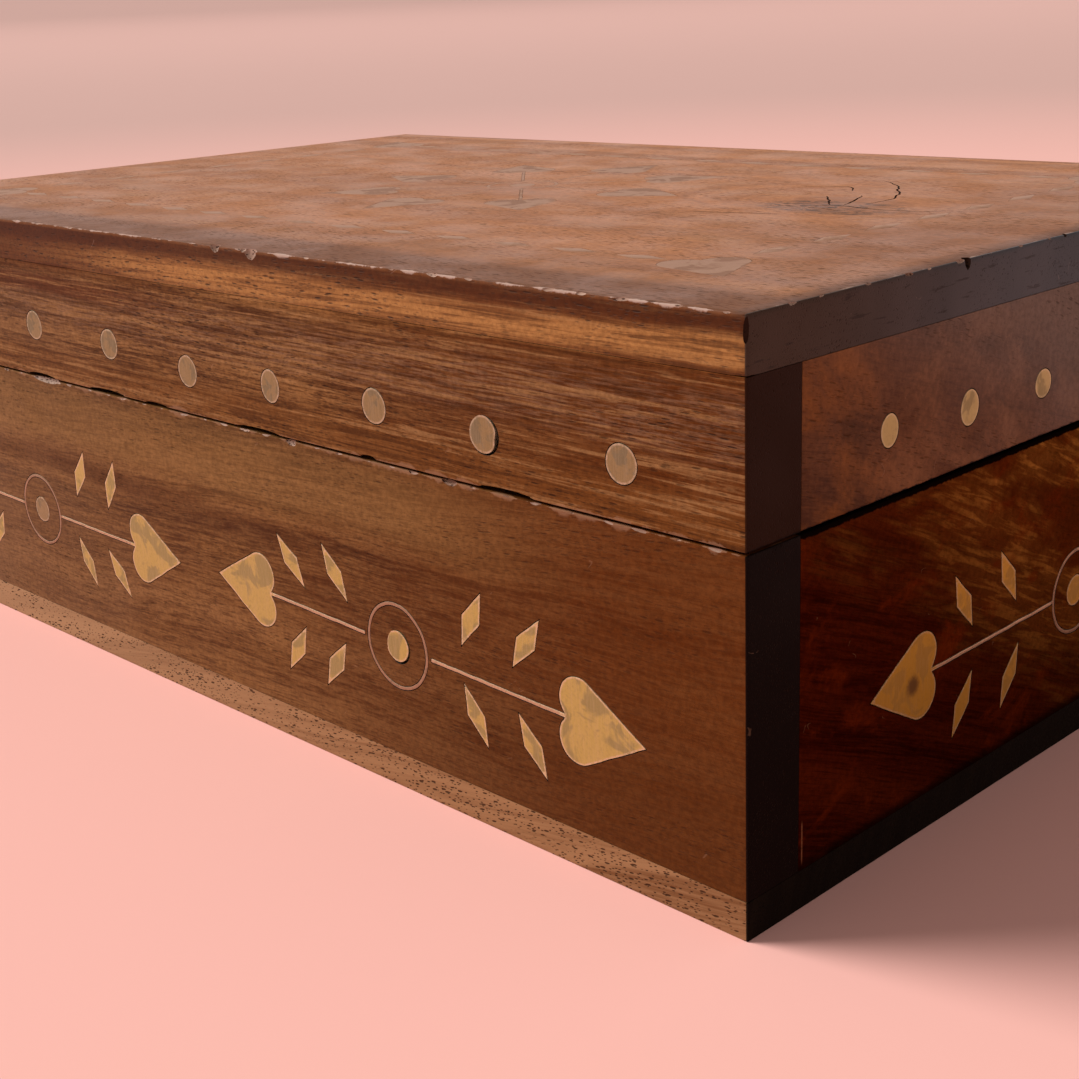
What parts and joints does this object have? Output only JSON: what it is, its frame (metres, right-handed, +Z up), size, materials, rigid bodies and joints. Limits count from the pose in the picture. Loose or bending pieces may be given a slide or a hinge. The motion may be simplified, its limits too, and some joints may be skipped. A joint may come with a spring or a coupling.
{
  "type": "brass inlaid wooden box",
  "caption": "Low rectangular box of dark wood with a lift-off lid, inlaid with brass dots, hearts, rings, wires and lozenge leaves",
  "frame": {"origin": "middle of the underside", "axes": "+X along the box's length towards the right end as seen from the front, +Y from the front towards the back, +Z up"},
  "size_m": [0.2, 0.129, 0.066],
  "materials": {
    "dark_wood": "worn satin, dark red-brown with fine dark pores and honey streaks",
    "raw_wood": "unfinished, light pinkish brown with short dark pores",
    "aged_brass": "dull, tarnished in patches, fine scratches"
  },
  "bodies": {
    "root": {"base_back_board": "dark_wood", "base_bottom_board": "raw_wood", "base_front_board": "dark_wood", "base_left_board": "dark_wood", "base_right_board": "dark_wood", "front_left_centre_dot": "aged_brass", "front_left_hearts_and_ring": "aged_brass", "front_left_leaf_1": "aged_brass", "front_left_leaf_2": "aged_brass", "front_left_leaf_3": "aged_brass", "front_left_leaf_4": "aged_brass", "front_left_leaf_5": "aged_brass", "front_left_leaf_6": "aged_brass", "front_left_leaf_7": "aged_brass", "front_left_leaf_8": "aged_brass", "front_right_centre_dot": "aged_brass", "front_right_leaf_1": "aged_brass", "front_right_leaf_2": "aged_brass", "front_right_leaf_3": "aged_brass", "front_right_leaf_4": "aged_brass", "front_right_leaf_5": "aged_brass", "front_right_leaf_6": "aged_brass", "front_right_leaf_7": "aged_brass", "front_right_leaf_8": "aged_brass", "front_right_left_heart": "aged_brass", "front_right_right_heart": "aged_brass", "front_right_ring": "aged_brass", "lid_back_board": "dark_wood", "lid_front_board": "dark_wood", "lid_front_dot_1": "aged_brass", "lid_front_dot_2": "aged_brass", "lid_front_dot_3": "aged_brass", "lid_front_dot_4": "aged_brass", "lid_front_dot_5": "aged_brass", "lid_front_dot_6": "aged_brass", "lid_front_dot_7": "aged_brass", "lid_front_dot_8": "aged_brass", "lid_front_dot_9": "aged_brass", "lid_left_board": "dark_wood", "lid_right_board": "dark_wood", "lid_side_dot_1": "aged_brass", "lid_side_dot_2": "aged_brass", "lid_side_dot_3": "aged_brass", "lid_side_dot_4": "aged_brass", "lid_side_dot_5": "aged_brass", "lid_side_dot_6": "aged_brass", "lid_top_board": "dark_wood", "lid_top_rosette": "aged_brass", "lid_top_rosette_dot": "aged_brass", "side_centre_dot": "aged_brass", "side_hearts_and_ring": "aged_brass", "side_leaf_1": "aged_brass", "side_leaf_2": "aged_brass", "side_leaf_3": "aged_brass", "side_leaf_4": "aged_brass", "side_leaf_5": "aged_brass", "side_leaf_6": "aged_brass", "side_leaf_7": "aged_brass", "side_leaf_8": "aged_brass"}
  },
  "joints": []
}
